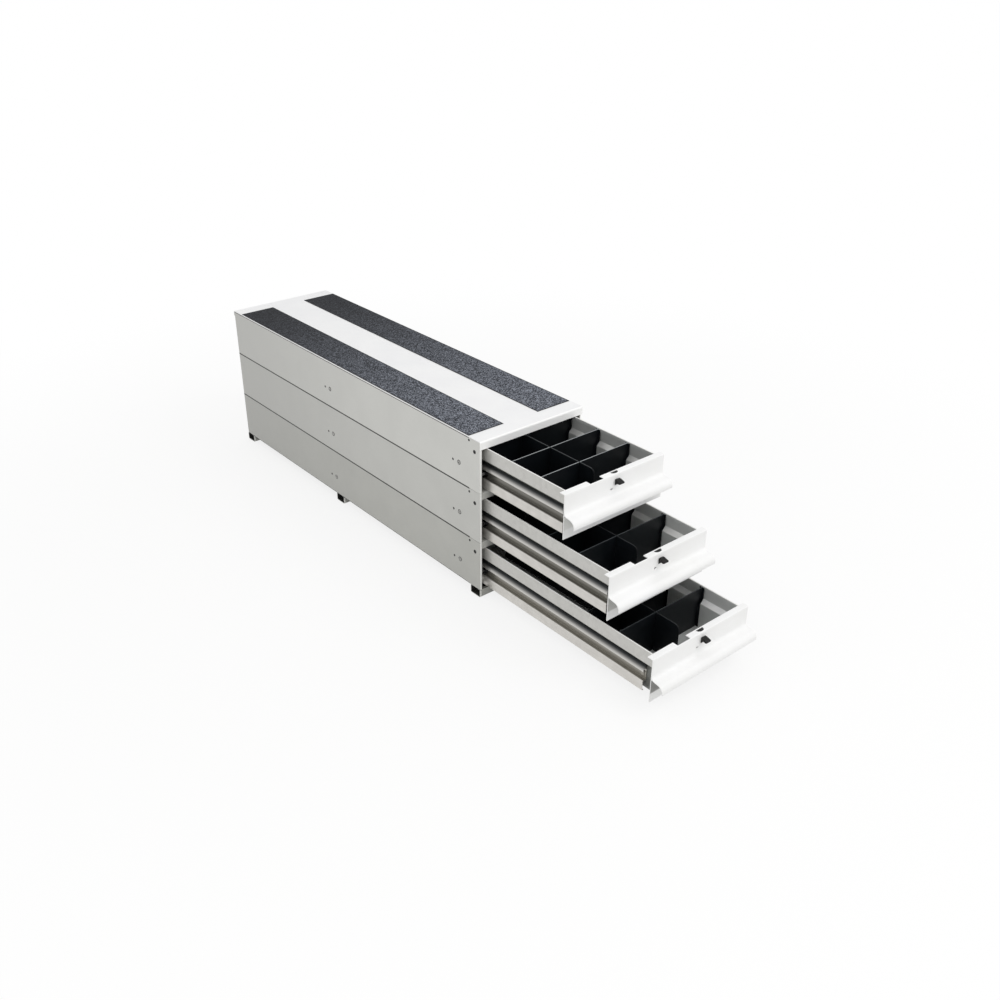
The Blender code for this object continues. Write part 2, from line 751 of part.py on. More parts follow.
def build():
    """Clear the scene and build the cabinet and its drawers."""
    for old in list(bpy.data.objects):
        bpy.data.objects.remove(old)
    cabinet = axis_point("cabinet", (0, front_y, base_height + body_height))
    piece("top_panel", top_panel(), "white_top", cabinet)
    piece("back_panel", back_panel(), "grey_panel", cabinet)
    for side, word in ((-1, "left"), (1, "right")):
        piece("grit_strip_%s" % word, grit_strip(side), "grit", cabinet)
    insets = {"front": 0, "middle": middle_base_inset, "rear": cabinet_depth - base_width}
    for word, inset in insets.items():
        piece("base_channel_%s" % word, base_channel(inset), "grey_rail", cabinet)
    for number in range(1, module_count + 1):
        build_module(number, cabinet)
        build_drawer(number, cabinet)


build()
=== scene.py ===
"""The looks of a van drawer cabinet: three steel drawer modules with their
drawers drawn out in steps, on three base channels, with a deck on top.

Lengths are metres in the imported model's own frame: +X right seen from the
front, drawers pull out toward -Y, +Z up, the floor at zero.
"""
import json
import math

import bmesh
import bpy
import numpy as np
from mathutils import Matrix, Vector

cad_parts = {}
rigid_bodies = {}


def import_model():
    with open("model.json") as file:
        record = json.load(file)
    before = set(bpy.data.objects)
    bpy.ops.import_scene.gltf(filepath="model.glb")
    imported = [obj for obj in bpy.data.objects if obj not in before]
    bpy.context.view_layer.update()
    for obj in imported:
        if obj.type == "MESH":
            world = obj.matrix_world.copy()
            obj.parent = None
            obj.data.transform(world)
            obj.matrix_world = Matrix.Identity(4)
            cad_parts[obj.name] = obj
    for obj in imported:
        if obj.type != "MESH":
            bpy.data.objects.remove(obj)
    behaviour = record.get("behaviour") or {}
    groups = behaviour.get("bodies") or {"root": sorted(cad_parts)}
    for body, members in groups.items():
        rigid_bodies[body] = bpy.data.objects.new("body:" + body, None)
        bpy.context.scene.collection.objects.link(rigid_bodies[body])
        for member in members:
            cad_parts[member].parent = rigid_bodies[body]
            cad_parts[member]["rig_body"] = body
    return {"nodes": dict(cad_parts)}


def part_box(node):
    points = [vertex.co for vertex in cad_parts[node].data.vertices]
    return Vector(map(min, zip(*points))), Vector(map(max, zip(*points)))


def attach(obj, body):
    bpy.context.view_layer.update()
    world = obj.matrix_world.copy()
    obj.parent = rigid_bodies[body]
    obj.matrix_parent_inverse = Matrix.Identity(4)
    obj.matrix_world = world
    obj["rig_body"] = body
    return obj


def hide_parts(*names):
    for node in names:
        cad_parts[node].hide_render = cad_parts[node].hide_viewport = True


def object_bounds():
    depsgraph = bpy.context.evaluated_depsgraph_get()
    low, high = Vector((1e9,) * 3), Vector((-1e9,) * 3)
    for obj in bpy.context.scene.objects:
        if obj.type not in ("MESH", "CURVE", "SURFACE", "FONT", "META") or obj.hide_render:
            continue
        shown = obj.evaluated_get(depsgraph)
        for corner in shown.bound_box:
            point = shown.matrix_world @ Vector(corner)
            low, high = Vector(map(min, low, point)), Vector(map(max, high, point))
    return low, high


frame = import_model()
nodes = frame["nodes"]
cad_low, cad_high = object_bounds()

# Base channels: three channels of 2 mm steel sheet, folded and powder painted
# light grey, that stand on the van's floor and take its bolts. Their hollow
# is painted shade, and their front corners carry a painted highlight.
channel_sheet, channel_corner, corner_highlight_width = 0.0020, 0.0045, 0.0006
hollow_share, hollow_shade_share, highlight_share = 0.8, 0.96, 0.9
smooth_bend_angle, bevel_edge_angle = math.radians(35), math.radians(50)
flat_join_angle, merge_distance = math.radians(0.2), 0.000001
# A mark fades out over the band's blur, or over less where it ends at a fold.
band_blur, crisp, far_away = 0.0004, 0.0002, 9.0
facing_low, facing_high = 0.45, 0.7
# Real orange peel is about 1 mm across, a speck 0.3 mm and a scuff 0.4 mm wide.
# All three are drawn coarser, so that they show.
peel_size, peel_height, speck_size, cloud_size = 0.0022, 0.00004, 0.0009, 0.0900
scuff_length, scuff_width = 0.0300, 0.0012
speck_shade, scuff_shade = "#7E7C74", "#8B8A84"
film_low, film_high = 0.3, 0.7
speck_low, speck_high, scuff_low, scuff_high, blemish_share = 0.66, 0.74, 0.68, 0.76, 0.10
paint_gloss_swing = 0.06


def linear(hex_colour):
    """sRGB hex as linear RGBA: ((c + 0.055) / 1.055) ** 2.4, or c / 12.92 for a dark c."""
    channels = np.array([int(hex_colour[at:at + 2], 16) for at in (1, 3, 5)]) / 255
    curved = ((channels + 0.055) / 1.055) ** 2.4
    return (*np.where(channels <= 0.04045, channels / 12.92, curved), 1.0)


def add(tree, kind, settings=None, feeds=None):
    """One node with its properties and plain sockets set, and its fed sockets linked."""
    node = tree.nodes.new(kind)
    for name, value in (settings or {}).items():
        if isinstance(name, int) or name in node.inputs:
            node.inputs[name].default_value = value
        else:
            setattr(node, name, value)
    for name, source in (feeds or {}).items():
        tree.links.new(source, node.inputs[name])
    return node


def blank_material(name):
    """A material, its empty node tree, and the piece's own coordinates to read patterns at."""
    made = bpy.data.materials.new(name)
    made.use_nodes = True
    made.node_tree.nodes.clear()
    return made, made.node_tree, add(made.node_tree, "ShaderNodeTexCoord").outputs["Object"]


def between(tree, place, axis, low, high, blur=band_blur):
    """1 where X, Y or Z (axis 0, 1, 2) lies from low to high, or |X| for axis 3, else 0."""
    parts = add(tree, "ShaderNodeSeparateXYZ", None, {"Vector": place})
    reading = parts.outputs[axis % 3]
    if axis == 3:
        size = add(tree, "ShaderNodeMath", {"operation": "ABSOLUTE"}, {0: reading})
        reading = size.outputs[0]
    off = add(tree, "ShaderNodeMath", {"operation": "SUBTRACT", 1: (low + high) / 2}, {0: reading})
    far = add(tree, "ShaderNodeMath", {"operation": "ABSOLUTE"}, {0: off.outputs[0]})
    reach = (high - low) / 2
    inside = add(tree, "ShaderNodeMapRange",
                 {"interpolation_type": "SMOOTHSTEP", "From Min": reach - blur,
                  "From Max": reach + blur, "To Min": 1.0, "To Max": 0.0},
                 {"Value": far.outputs[0]})
    return inside.outputs[0]


def facing_up(tree):
    """1 on faces that look up, 0 on upright ones and on those that look down."""
    facing = add(tree, "ShaderNodeNewGeometry")
    parts = add(tree, "ShaderNodeSeparateXYZ", None, {"Vector": facing.outputs["True Normal"]})
    upward = add(tree, "ShaderNodeMapRange", {"From Min": facing_low, "From Max": facing_high},
                 {"Value": parts.outputs[2]})
    return upward.outputs[0]


def marked(tree, place, tone, marks):
    """The tone with each mark's colour laid over it, where all of the mark's bands hold.

    A mark is (colour, share, bands). A band is (axis, low, high) with a blur
    of its own if it has one, or ("up",) for the faces that look up.
    """
    for colour, share, bands in marks:
        here = None
        for axis, *reach in bands:
            band = facing_up(tree) if axis == "up" else between(tree, place, axis, *reach)
            if here is None:
                here = band
            else:
                both = add(tree, "ShaderNodeMath", {"operation": "MULTIPLY"}, {0: here, 1: band})
                here = both.outputs[0]
        amount = add(tree, "ShaderNodeMath", {"operation": "MULTIPLY", 1: share}, {0: here})
        tone = add(tree, "ShaderNodeMix", {"data_type": "RGBA", 7: linear(colour)},
                   {0: amount.outputs[0], 6: tone}).outputs[2]
    return tone


def powder_coat(name, coat, thin_coat, roughness=0.42, specular=0.5, marks=()):
    """Baked powder paint: cloudy film of two tones, orange peel, fine specks, faint scuffs."""
    made, tree, place = blank_material(name)
    cloud = add(tree, "ShaderNodeTexNoise", {"Scale": 1 / cloud_size, "Detail": 4.0},
                {"Vector": place})
    peel = add(tree, "ShaderNodeTexNoise", {"Scale": 1 / peel_size, "Detail": 2.0},
               {"Vector": place})
    speck = add(tree, "ShaderNodeTexNoise", {"Scale": 1 / speck_size, "Detail": 1.0},
                {"Vector": place})
    film = add(tree, "ShaderNodeMapRange", {"From Min": film_low, "From Max": film_high},
               {"Value": cloud.outputs["Fac"]})
    tone = add(tree, "ShaderNodeMix",
               {"data_type": "RGBA", 6: linear(thin_coat), 7: linear(coat)},
               {0: film.outputs[0]})
    dot = add(tree, "ShaderNodeMapRange", {"From Min": speck_low, "From Max": speck_high,
                                           "To Min": 0.0, "To Max": blemish_share},
              {"Value": speck.outputs["Fac"]})
    dusted = add(tree, "ShaderNodeMix", {"data_type": "RGBA", 7: linear(speck_shade)},
                 {0: dot.outputs[0], 6: tone.outputs[2]})
    drawn = add(tree, "ShaderNodeMapping",
                {"Scale": (1 / scuff_width, 1 / scuff_length, 1 / scuff_width)},
                {"Vector": place})
    rub = add(tree, "ShaderNodeTexNoise", {"Scale": 1.0, "Detail": 2.0},
              {"Vector": drawn.outputs[0]})
    scuff = add(tree, "ShaderNodeMapRange", {"From Min": scuff_low, "From Max": scuff_high,
                                             "To Min": 0.0, "To Max": blemish_share},
                {"Value": rub.outputs["Fac"]})
    worn = add(tree, "ShaderNodeMix", {"data_type": "RGBA", 7: linear(scuff_shade)},
               {0: scuff.outputs[0], 6: dusted.outputs[2]})
    gloss = add(tree, "ShaderNodeMapRange", {"To Min": roughness - paint_gloss_swing,
                                             "To Max": roughness + paint_gloss_swing},
                {"Value": cloud.outputs["Fac"]})
    skin = add(tree, "ShaderNodeBump", {"Strength": 0.5, "Distance": peel_height},
               {"Height": peel.outputs["Fac"]})
    surface = add(tree, "ShaderNodeBsdfPrincipled",
                  {"Metallic": 0.0, "Specular IOR Level": specular},
                  {"Base Color": marked(tree, place, worn.outputs[2], marks),
                   "Roughness": gloss.outputs[0], "Normal": skin.outputs[0]})
    add(tree, "ShaderNodeOutputMaterial", None, {"Surface": surface.outputs[0]})
    return made


def placed(mesh, finish, body):
    """An object for the mesh with its finish and its bends shaded round, riding on a body."""
    mesh.materials.append(finish)
    mesh.shade_smooth()
    mesh.set_sharp_from_angle(angle=smooth_bend_angle)
    made = bpy.data.objects.new(mesh.name, mesh)
    bpy.context.scene.collection.objects.link(made)
    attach(made, body)
    return made


def soft_copy(node_name, finish, ending, edge_round=0):
    """The CAD node's own shape, its doubles merged, its flats joined and its bends shaded round."""
    node = nodes[node_name]
    shape = bmesh.new()
    shape.from_mesh(node.data)
    bmesh.ops.remove_doubles(shape, verts=shape.verts, dist=merge_distance)
    bmesh.ops.dissolve_limit(shape, angle_limit=flat_join_angle, verts=shape.verts,
                             edges=shape.edges)
    mesh = bpy.data.meshes.new(node_name + ending)
    shape.to_mesh(mesh)
    shape.free()
    mesh.materials.clear()
    made = placed(mesh, finish, node["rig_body"])
    if edge_round:
        bevel = made.modifiers.new("rounded edges", "BEVEL")
        bevel.width = edge_round
        bevel.segments = 2
        bevel.limit_method = "ANGLE"
        bevel.angle_limit = bevel_edge_angle
        bevel.use_clamp_overlap = False
    flats = made.modifiers.new("flat faces", "WEIGHTED_NORMAL")
    flats.keep_sharp = True
    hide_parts(node_name)


for word in ("front", "middle", "rear"):
    low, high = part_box("base_channel_" + word)
    inset = channel_sheet * hollow_share
    # Painted shade: the inside of each channel is near black.
    hollow_shade = ("#191918", hollow_shade_share, [(1, low[1] + inset, high[1] - inset, crisp),
                                     (2, inset, high[2], crisp)])
    # Painted highlight: the front corner edges are pale.
    corner_highlight = ("#E6E6E2", highlight_share, [(1, low[1] - corner_highlight_width, low[1] + corner_highlight_width),
                                     (3, high[0] - channel_corner, far_away)])
    # Grey powder paint: satin, painted a little darker than the sides as the shade under the
    # cabinet.
    channel_coat = powder_coat("grey_powder_coat_on_%s_channel" % word, "#A9A9A4", "#A1A19C",
                               marks=[hollow_shade, corner_highlight])
    soft_copy("base_channel_" + word, channel_coat, "_painted")

# Side panels: one sheet of 1.5 mm steel for each side of each module, folded
# at the front into a round edge and powder painted light grey. The seams and
# the rear are painted shade, and the front fold carries a painted highlight.
panel_front = float(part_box("side_panel_left_1")[0][1])
seam_start, seam_blur, seam_end_blur = 0.0410, 0.0003, 0.0020
seam_shade_width, deck_seam_shade_width = 0.0016, 0.0018
fold_highlight_width, fold_blur = 0.0016, 0.0005
module_shaded_coats = {1: ("#D5D5D1", "#D0D0CC"), 2: ("#C9C9C5", "#C4C4C0"), 3: ("#BCBCB7", "#B6B6B1")}
# Painted shade: the panels grow darker toward the rear.
rear_shade_middle, rear_shade_blur, rear_shade_share = 0.45, 0.55, 0.46
rear_shade = ("#A6A6A3", rear_shade_share, [(1, rear_shade_middle, far_away, rear_shade_blur)])
# Painted shade: a dark line along each seam between modules.
seam_shade, seam_share = "#1F201F", 0.95
# Painted highlight: the round front fold is paler.
fold_highlight = ("#F4F4F1", highlight_share,
               [(1, panel_front - fold_highlight_width, panel_front + fold_highlight_width, fold_blur)])
for number in (1, 2, 3):
    top = float(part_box("side_panel_left_%d" % number)[1][2])
    base = float(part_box("side_panel_left_%d" % number)[0][2])
    seam_reach = (1, panel_front + seam_start, far_away, seam_end_blur)
    top_shade_width = deck_seam_shade_width if number == 1 else seam_shade_width
    panel_light_and_shade = [rear_shade,
            (seam_shade, seam_share, [(2, top - top_shade_width, top + top_shade_width, seam_blur), seam_reach]),
            (seam_shade, seam_share, [(2, base - seam_shade_width, base + seam_shade_width, seam_blur),
                                      seam_reach]),
            fold_highlight]
    coat, thin_coat = module_shaded_coats[number]
    # Grey powder paint: satin and even, with painted shade making each module darker toward the
    # floor.
    panel_coat = powder_coat("grey_powder_coat_on_module_%d" % number, coat, thin_coat, marks=panel_light_and_shade)
    for word in ("left", "right"):
        soft_copy("side_panel_%s_%d" % (word, number), panel_coat, "_painted")


# Side fixings: at each end of each cabinet runner a painted pan head screw on
# a washer, with the washer and the socket painted dark as shade, and beside it
# a blind rivet painted black as the shade of a hole. Black plugs of soft
# plastic are pressed into the two front holes of every side panel.
def round_quads(count, rows, steps, closed_loop):
    """Corner numbers of the quads on count grids of rows by steps, each joined round its steps."""
    row = np.arange(rows if closed_loop else rows - 1)[:, None]
    step = np.arange(steps)[None, :]
    next_row, next_step = (row + 1) % rows, (step + 1) % steps
    corners = np.stack((row * steps + step, row * steps + next_step,
                        next_row * steps + next_step, next_row * steps + step), axis=-1)
    starts = np.arange(count)[:, None, None] * rows * steps
    return (starts + corners.reshape(-1, 4)).reshape(-1, 4)


def turned(name, profile, places, finish, body, steps=24, closed_loop=False, facing="X"):
    """Round pieces that face along X or Y, one at each place (x, y, z, side).

    Each (radius, height) of the profile goes round the axis at radius cos t and
    radius sin t, at side times height along the axis. A side of -1 turns the
    piece round to face the other way.
    """
    profile, places = np.array(profile), np.array(places, dtype=float)
    turn = math.tau * np.arange(steps) / steps
    side = places[:, 3, None, None]
    radius, height = profile[None, :, 0, None], profile[None, :, 1, None]
    local = [side * height + 0 * turn, radius * np.cos(turn) + 0 * side,
             radius * np.sin(turn) + 0 * side]
    if facing == "Y":
        local[:2] = local[1::-1]
    points = np.stack(local, axis=-1) + places[:, None, None, :3]
    mesh = bpy.data.meshes.new(name)
    quads = round_quads(len(places), len(profile), steps, closed_loop)
    mesh.from_pydata(points.reshape(-1, 3).tolist(), [], quads.tolist())
    shape = bmesh.new()
    shape.from_mesh(mesh)
    bmesh.ops.remove_doubles(shape, verts=shape.verts, dist=merge_distance)
    bmesh.ops.recalc_face_normals(shape, faces=shape.faces)
    shape.to_mesh(mesh)
    shape.free()
    return placed(mesh, finish, body)


def moulded_plastic(name, pale, dark, roughness, specular, marks=()):
    """Black moulding: fine pebble texture from the mould and a faint cloud in the gloss."""
    made, tree, place = blank_material(name)
    cell = add(tree, "ShaderNodeTexVoronoi", {"Scale": 1 / pebble_size}, {"Vector": place})
    cloud = add(tree, "ShaderNodeTexNoise", {"Scale": 1 / flow_size, "Detail": 3.0},
                {"Vector": place})
    tone = add(tree, "ShaderNodeMix", {"data_type": "RGBA", 6: linear(dark), 7: linear(pale)},
               {0: cloud.outputs["Fac"]})
    gloss = add(tree, "ShaderNodeMapRange", {"To Min": roughness - mould_gloss_fall,
                                             "To Max": roughness + mould_gloss_rise},
                {"Value": cloud.outputs["Fac"]})
    bump = add(tree, "ShaderNodeBump", {"Strength": 0.3, "Distance": pebble_height},
               {"Height": cell.outputs["Distance"]})
    surface = add(tree, "ShaderNodeBsdfPrincipled", {"Specular IOR Level": specular},
                  {"Base Color": marked(tree, place, tone.outputs[2], marks),
                   "Roughness": gloss.outputs[0], "Normal": bump.outputs[0]})
    add(tree, "ShaderNodeOutputMaterial", None, {"Surface": surface.outputs[0]})
    return made


half_width = float(cad_high[0])
deck_top = float(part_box("top_panel")[1][2])
module_pitch = 0.1392
screw_reaches, rivet_reaches, fixing_drop = (0.0810, 0.6700), (0.1050, 0.6950), 0.0840
small_plug_reach, small_plug_drop = 0.0410, 0.0090
large_plug_reach, large_plug_drop = 0.0200, 0.0330
screw_places, rivet_places, small_plugs, large_plugs = [], [], [], []
for number in (1, 2, 3):
    module_top = deck_top - (number - 1) * module_pitch
    for side in (-1, 1):
        face, row_height = side * half_width, module_top - fixing_drop
        screw_places += [(face, panel_front + reach, row_height, side) for reach in screw_reaches]
        rivet_places += [(face, panel_front + reach, row_height, side) for reach in rivet_reaches]
        small_plugs.append((face, panel_front + small_plug_reach,
                            module_top - small_plug_drop, side))
        large_plugs.append((face, panel_front + large_plug_reach,
                            module_top - large_plug_drop, side))

screw_radius, screw_height, socket_radius = 0.0044, 0.0011, 0.0021
washer_radius, washer_height, fixing_sink = 0.0063, 0.0003, 0.0002
crown_share, shoulder_share, shoulder_height_share = 0.7, 0.92, 0.7
# (radius, height) from the middle of the socket's floor outwards and back underneath.
screw_profile = [(0, washer_height), (socket_radius, washer_height), (socket_radius, screw_height),
                 (screw_radius * crown_share, screw_height),
                 (screw_radius * shoulder_share, screw_height * shoulder_height_share),
                 (screw_radius, washer_height), (washer_radius, washer_height),
                 (washer_radius, -fixing_sink), (0, -fixing_sink)]
washer_depth, washer_skin, washer_blur = 0.0010, 0.0001, 0.00005
washer_shade = ("#1A1A1A", 1.0, [(3, half_width - washer_depth,
                                  half_width + washer_height + washer_skin, washer_blur)])
# Painted steel: the head shines a little more than the panel; socket and washer are painted shade.
screw_coat = powder_coat("painted_screw_steel", "#C4C4C0", "#BBBBB7", roughness=0.36,
                         marks=[washer_shade])
turned("side_screws", screw_profile, screw_places, screw_coat, "cabinet")

# (radius, height) from the middle of the rivet's tail outwards and back underneath.
rivet_profile = [(0, 0.0005), (0.0020, 0.0004), (0.0032, 0.0001), (0.0032, -fixing_sink),
                 (0, -fixing_sink)]
# Black painted steel: dull, painted as shade so that the rivets read as dark holes.
rivet_shade_black = powder_coat("black_painted_rivet_steel", "#1E1E1D", "#161615", roughness=0.5,
                         specular=0.3)
turned("side_rivets", rivet_profile, rivet_places, rivet_shade_black, "cabinet", steps=16)

# The pebble that a mould leaves is about 0.3 mm across. It is drawn coarser, so
# that it shows.
pebble_size, pebble_height, flow_size = 0.0008, 0.00006, 0.0400
mould_gloss_fall, mould_gloss_rise = 0.06, 0.08
small_hole, large_hole, plug_lap = 0.00195, 0.00390, 0.0012
plug_dish, plug_rise, plug_depth = 0.0001, 0.0004, 0.0009
dish_share, rim_start_share, rim_end_share = 0.7, 0.8, 0.95
# Polythene: soft black plastic with a waxy, dull sheen.
plug_black = moulded_plastic("black_polythene_plug", "#141415", "#0E0E0F", roughness=0.5,
                             specular=0.3)
for name, hole, places in (("small_hole_plugs", small_hole, small_plugs),
                           ("large_hole_plugs", large_hole, large_plugs)):
    head = hole + plug_lap
    plug = [(0, plug_dish), (head * dish_share, plug_dish), (head * rim_start_share, plug_rise),
            (head * rim_end_share, plug_rise), (head, plug_dish), (head, 0), (hole, 0),
            (hole, -plug_depth), (0, -plug_depth)]
    turned(name, plug, places, plug_black, "cabinet", steps=20)

# Back panel: a plain steel sheet inside the side panels' rear flanges, in the
# same grey powder paint, held by a row of blind rivets up each flange.
back_rivet_inset, back_rivet_drops = 0.0100, (0.0250, 0.0700, 0.1150)
panel_rear = float(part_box("side_panel_left_1")[1][1])
# Grey powder paint: satin and even, a little darker than the sides.
back_coat = powder_coat("grey_powder_coat_on_back", "#C6C6C2", "#BFBFBB")
soft_copy("back_panel", back_coat, "_painted")
# (radius, height) from the dimple in the rivet's head outwards and back underneath.
back_rivet = [(0, 0.0007), (0.0010, 0.0007), (0.0012, 0.0011), (0.0026, 0.0009),
              (0.0034, 0.0002), (0.0034, -fixing_sink), (0, -fixing_sink)]
back_places = [(side * (half_width - back_rivet_inset), panel_rear,
                deck_top - number * module_pitch - drop, 1)
               for number in range(3) for side in (-1, 1) for drop in back_rivet_drops]
turned("back_rivets", back_rivet, back_places, back_coat, "cabinet", steps=20,
       facing="Y")

# Cross rails: a folded steel channel over each drawer that ties the two sides
# together and holds the slot for the drawer's latch, powder painted grey.

# Grey powder paint: satin and even, mostly in the shade of the deck.
rail_coat = powder_coat("grey_powder_coat_on_rails", "#C9C9C4", "#C0C0BB")
for number in (1, 2, 3):
    soft_copy("cross_rail_%d" % number, rail_coat, "_painted")

# Deck: a 2 mm steel sheet turned down at the front and the rear, powder
# painted white and fixed over the top module. Its front lip is painted
# lighter than the top, as painted light.
lip_low, lip_high = 0.0030, 0.0012
lip_painted_light = ("#FFFFFE", 1.0, [(1, panel_front - lip_low, panel_front + lip_high)])
# White powder paint: a little glossier than the grey, with the same orange peel.
deck_coat = powder_coat("white_powder_coat_on_deck", "#F4F4F4", "#EFEFF0", roughness=0.36,
                        marks=[lip_painted_light])
soft_copy("top_panel", deck_coat, "_painted")

# Anti-slip strips: mineral grit bonded to a charcoal film that is stuck down
# on the deck, with a plain dark border. The grit is painted darker toward the
# rear, as shade. The grains are drawn three to five times too large.
film_black, grain_dark, grain_pale, grain_rear_shade = "#151618", "#292C33", "#989DA8", "#05060B"
grain_pitch, grain_patch, grain_height, film_border = 0.0014, 0.0024, 0.0005, 0.0016
grain_shade_low, grain_roughness_height = 0.35, 0.0003
grit_shade_middle, grit_shade_spread, rear_grit_shade_share = 0.3, 0.6, 0.88


def grit_film(name):
    """Charcoal film with mineral grains: each grain its own shade of blue grey."""
    made, tree, place = blank_material(name)
    grain = add(tree, "ShaderNodeTexVoronoi", {"Scale": 1 / grain_patch, "Randomness": 1.0},
                {"Vector": place})
    tint = add(tree, "ShaderNodeSeparateColor", None, {"Color": grain.outputs["Color"]})
    lit = add(tree, "ShaderNodeMapRange", {"From Min": grain_shade_low, "From Max": 1.0},
              {"Value": tint.outputs[0]})
    tone = add(tree, "ShaderNodeMix",
               {"data_type": "RGBA", 6: linear(grain_dark), 7: linear(grain_pale)},
               {0: lit.outputs[0]})
    gritty = add(tree, "ShaderNodeAttribute", {"attribute_name": "grit"})
    # Painted shade: the grains grow darker toward the rear.
    rear_grit_shade = (grain_rear_shade, rear_grit_shade_share, [(1, grit_shade_middle, far_away, grit_shade_spread)])
    coat = add(tree, "ShaderNodeMix", {"data_type": "RGBA", 6: linear(film_black)},
               {0: gritty.outputs["Fac"], 7: marked(tree, place, tone.outputs[2], [rear_grit_shade])})
    rough = add(tree, "ShaderNodeTexNoise", {"Scale": 2 / grain_pitch, "Detail": 3.0},
                {"Vector": place})
    bump = add(tree, "ShaderNodeBump", {"Strength": 0.8, "Distance": grain_roughness_height},
               {"Height": rough.outputs["Fac"]})
    surface = add(tree, "ShaderNodeBsdfPrincipled",
                  {"Roughness": 0.85, "Specular IOR Level": 0.35},
                  {"Base Color": coat.outputs[2], "Normal": bump.outputs[0]})
    add(tree, "ShaderNodeOutputMaterial", None, {"Surface": surface.outputs[0]})
    return made


def grit_strip(name, node_name, finish, seed):
    """A slab over the strip's box whose top is a grid of grains.

    Height at each grid point = full height - grain height + grain height times
    the square of a random number, and flat at the border. The outermost ring
    of points drops to the deck, and one face closes the underside.
    """
    low, high = np.array(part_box(node_name), dtype=float)
    columns, rows = [int((high[axis] - low[axis]) / grain_pitch) for axis in (0, 1)]
    across = np.concatenate(([low[0]], np.linspace(low[0], high[0], columns), [high[0]]))
    along = np.concatenate(([low[1]], np.linspace(low[1], high[1], rows), [high[1]]))
    x, y = np.meshgrid(across, along)
    edge = np.minimum(np.minimum(x - low[0], high[0] - x), np.minimum(y - low[1], high[1] - y))
    gritty = (edge > film_border).astype(float)
    random = np.random.default_rng(seed).random(x.shape)
    z = high[2] - grain_height + gritty * grain_height * random ** 2
    z[[0, -1], :] = low[2]
    z[:, [0, -1]] = low[2]
    points = np.stack((x, y, z), axis=-1)
    index = np.arange(x.size).reshape(x.shape)
    quads = np.stack((index[:-1, :-1], index[:-1, 1:], index[1:, 1:], index[1:, :-1]), axis=-1)
    rim = np.concatenate((index[0, :-1], index[:-1, -1], index[-1, :0:-1], index[:0:-1, 0]))
    faces = quads.reshape(-1, 4).tolist() + [rim[::-1].tolist()]
    mesh = bpy.data.meshes.new(name)
    mesh.from_pydata(points.reshape(-1, 3).tolist(), [], faces)
    grit_share = mesh.attributes.new("grit", "FLOAT", "POINT")
    grit_share.data.foreach_set("value", gritty.ravel())
    made = placed(mesh, finish, nodes[node_name]["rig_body"])
    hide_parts(node_name)


# Mineral grit: rough and dull, with single grains that catch the light.
grit = grit_film("mineral_grit_on_film")
for seed, word in enumerate(("left", "right")):
    grit_strip("grit_strip_%s_gritted" % word, "grit_strip_" + word, grit, seed)

# Cabinet runners: pressed steel tracks riveted inside the sides, which carry
# the drawers' rear rollers. They are zinc plated and clear passivated, so they
# are bright with a faint rolled grain.

# A rolled streak is about 0.2 mm wide. It is drawn coarser, so that it shows.
streak_width, streak_length, streak_height, plating_cloud = 0.0006, 0.0600, 0.00003, 0.0250
streak_low, streak_high = 0.12, 0.40
steel_gloss_fall, steel_gloss_rise = 0.06, 0.08


def rolled_steel(name, bright, dull, roughness=0.34, metallic=1.0, marks=()):
    """Plated strip: fine streaks along the rolling direction (Y) over a cloudy zinc tone."""
    made, tree, place = blank_material(name)
    along = add(tree, "ShaderNodeMapping",
                {"Scale": (1 / streak_width, 1 / streak_length, 1 / streak_width)},
                {"Vector": place})
    streak = add(tree, "ShaderNodeTexNoise", {"Scale": 1.0, "Detail": 3.0},
                 {"Vector": along.outputs[0]})
    cloud = add(tree, "ShaderNodeTexNoise", {"Scale": 1 / plating_cloud, "Detail": 3.0},
                {"Vector": place})
    both = add(tree, "ShaderNodeMath", {"operation": "MULTIPLY"},
               {0: streak.outputs["Fac"], 1: cloud.outputs["Fac"]})
    spread = add(tree, "ShaderNodeMapRange", {"From Min": streak_low, "From Max": streak_high},
                 {"Value": both.outputs[0]})
    tone = add(tree, "ShaderNodeMix", {"data_type": "RGBA", 6: linear(dull), 7: linear(bright)},
               {0: spread.outputs[0]})
    gloss = add(tree, "ShaderNodeMapRange", {"To Min": roughness + steel_gloss_rise,
                                             "To Max": roughness - steel_gloss_fall},
                {"Value": both.outputs[0]})
    lines = add(tree, "ShaderNodeBump", {"Strength": 0.25, "Distance": streak_height},
                {"Height": streak.outputs["Fac"]})
    surface = add(tree, "ShaderNodeBsdfPrincipled", {"Metallic": metallic},
                  {"Base Color": marked(tree, place, tone.outputs[2], marks),
                   "Roughness": gloss.outputs[0], "Normal": lines.outputs[0]})
    add(tree, "ShaderNodeOutputMaterial", None, {"Surface": surface.outputs[0]})
    return made


# Zinc plate: a bright cool metal whose reflections the rolled grain softens along Y.
track_zinc = rolled_steel("zinc_plated_steel", "#C2C3C4", "#9DA0A2")
for number in (1, 2, 3):
    for word in ("left", "right"):
        soft_copy("cabinet_runner_%s_%d" % (word, number), track_zinc, "_plated")

# Rollers: sealed ball bearings that the drawers run on, two on the cabinet and
# two on each drawer, pushed onto their studs. The races are blackened steel
# with a rubber seal sunk between them.
race_width, inner_race, bore, race_round = 0.0016, 0.0051, 0.0033, 0.0004
seal_sink, seal_band, seal_blur, bore_chamfer, corner_share = 0.0005, 0.0002, 0.0001, 0.0002, 0.3
seals = []
for kind in ("front", "rear"):
    low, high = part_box("%s_roller_right_1" % kind)
    for seal in (low[0] + seal_sink, high[0] - seal_sink):
        seals.append(("#0A0A0B", 1.0, [(3, seal - seal_band, seal + seal_band, seal_blur)]))
